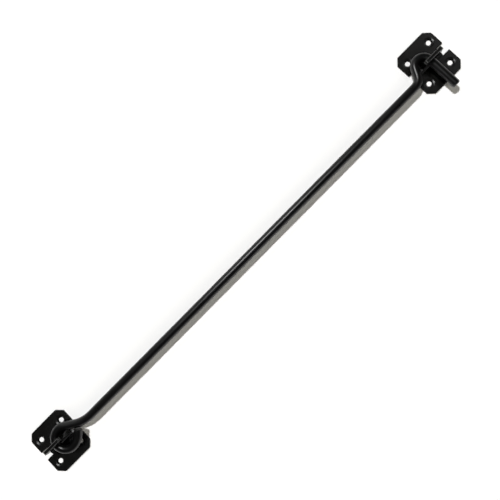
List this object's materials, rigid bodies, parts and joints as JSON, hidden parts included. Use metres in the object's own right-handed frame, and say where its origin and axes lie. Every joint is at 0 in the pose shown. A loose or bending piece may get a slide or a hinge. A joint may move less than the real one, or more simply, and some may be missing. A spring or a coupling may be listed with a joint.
{
  "type": "cabin hook",
  "caption": "Long bar hook in black coated steel: an eye held by one screw-on lug plate and a bent prong that drops through the lug of a second plate to hold a door or gate open.",
  "frame": {"origin": "centre of the eye plate's four screw holes, on its back face", "axes": "+X along the bar from the eye to the hook, the prong points to -Y, +Z out of the mounting surface"},
  "size_m": [0.6543, 0.0693, 0.0267],
  "materials": {
    "plate_coating": "satin black coated sheet steel",
    "bar_coating": "satin black coated round bar"
  },
  "bodies": {
    "eye_plate_body": {"eye_plate": "plate_coating"},
    "bar_body": {"hook_bar": "bar_coating"},
    "strike_plate_body": {"strike_plate": "plate_coating"}
  },
  "joints": [
    {"name": "eye_hinge", "type": "hinge", "parent": "eye_plate_body", "child": "bar_body", "pos_m": [0, 0, 0.0125], "axis": [0, -1, 0], "range_deg": [0, 180]},
    {"name": "unhook_slide", "type": "slide", "parent": "bar_body", "child": "strike_plate_body", "axis": [0, -1, 0], "range_m": [0, 0.045]}
  ]
}
